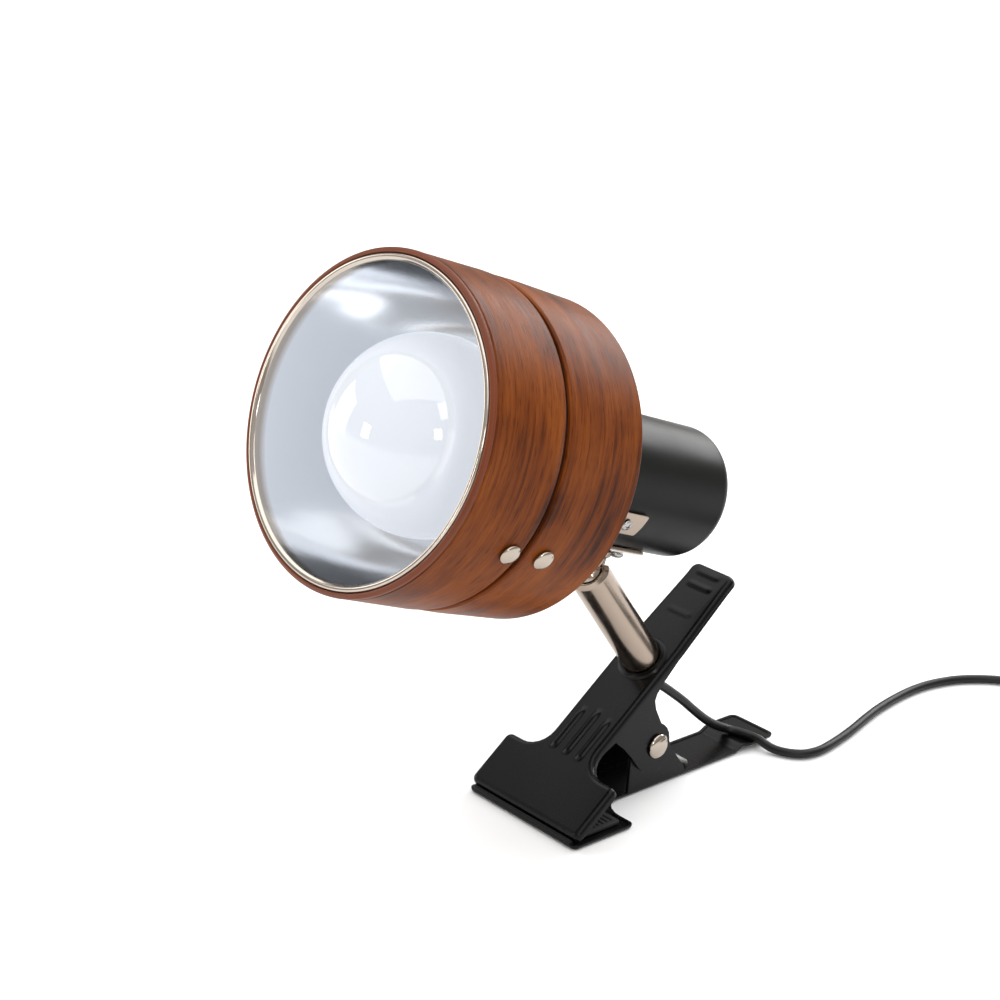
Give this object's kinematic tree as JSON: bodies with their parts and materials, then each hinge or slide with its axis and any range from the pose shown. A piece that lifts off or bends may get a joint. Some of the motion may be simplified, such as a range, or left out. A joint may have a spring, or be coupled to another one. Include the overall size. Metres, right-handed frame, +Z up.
{
  "type": "clip-on reading lamp",
  "caption": "Clip-on reading lamp: a veneered round shade with a globe bulb, on a ball-jointed chrome stem carried by a spring clip, with a cord, switch and plug.",
  "frame": {"origin": "middle of the bite line, where the tips of the two jaws meet", "axes": "the lamp faces -Y, +Y runs from the bite to the clip's handles, +Z is up from the lower jaw"},
  "size_m": [0.1932, 0.3344, 0.1967],
  "materials": {
    "black_paint": "semi-gloss black paint on stamped steel",
    "black_rubber": "matte black rubber",
    "nickel": "nickel-plated steel",
    "zinc_steel": "zinc-plated spring and fastener steel",
    "chrome": "polished chrome plate",
    "nylon": "natural nylon",
    "black_pvc": "black PVC cord sheath",
    "black_abs": "fine-textured black ABS",
    "dark_liner": "dark red-brown fibre liner",
    "walnut_veneer": "satin-lacquered walnut veneer, grain round the shade",
    "polished_aluminium": "polished spun aluminium",
    "opal_glass": "glossy opal white glass",
    "brass": "plain brass",
    "porcelain": "glazed off-white porcelain"
  },
  "bodies": {
    "lower_clip": {"lower_jaw": "black_paint", "lower_pad": "black_rubber", "pivot_pin": "nickel", "torsion_spring": "zinc_steel", "cord_lead": "black_pvc", "cord_link": "black_pvc", "cord_tail": "black_pvc", "cord_coil": "black_pvc", "coil_tie": "black_abs", "switch_base": "black_abs", "switch_cover": "black_abs", "plug_body": "black_abs", "plug_blade_left": "brass", "plug_blade_right": "brass"},
    "upper_clip": {"upper_jaw": "black_paint", "upper_pad": "black_rubber", "stem_collar": "black_paint", "stem_washer": "zinc_steel", "stem_nut": "zinc_steel"},
    "stem": {"stem_tube": "chrome", "friction_seat": "nylon", "pressure_spring": "zinc_steel", "stem_lead": "black_pvc", "cord_bushing": "black_abs"},
    "head": {"ball_stud": "chrome", "bulb_globe": "opal_glass", "bulb_screw_cap": "nickel", "bulb_contact": "brass", "centre_contact": "brass", "front_seam_rivet": "nickel", "rear_seam_rivet": "nickel", "head_lead": "black_pvc", "lamp_holder": "porcelain", "reflector": "polished_aluminium", "saddle_plate": "chrome", "saddle_screw": "chrome", "screw_shell": "brass", "shade_cover": "black_paint", "shade_front_band": "walnut_veneer", "shade_liner": "dark_liner", "shade_rear_band": "walnut_veneer", "shade_ring": "black_abs", "side_plate_left": "chrome", "side_plate_right": "chrome", "side_screw_left": "chrome", "side_screw_right": "chrome", "socket_cap": "black_paint", "stud_nut": "zinc_steel"},
    "rocker": {"switch_rocker": "black_abs"}
  },
  "joints": [
    {"name": "jaw_open", "type": "hinge", "parent": "lower_clip", "child": "upper_clip", "pos_m": [0, 0.05126, 0.01417], "axis": [-1, 0, 0], "range_deg": [0, 30], "stiffness_Nm_per_rad": 0.4, "springref_deg": -68.75, "deforming": ["cord_lead", "torsion_spring"]},
    {"name": "stem_swivel", "type": "hinge", "parent": "upper_clip", "child": "stem", "pos_m": [0, 0.0513, 0.04238], "axis": [0, -0.6157, 0.788], "range_deg": [-160, 160]},
    {"name": "head_tilt", "type": "hinge", "parent": "stem", "child": "head", "pos_m": [0, 0.02298, 0.07863], "axis": [1, 0, 0], "range_deg": [-20, 35]},
    {"name": "switch_rock", "type": "hinge", "parent": "lower_clip", "child": "rocker", "pos_m": [0.089, 0.234, 0.00855], "axis": [0, 1, 0], "range_deg": [-8, 8]}
  ]
}
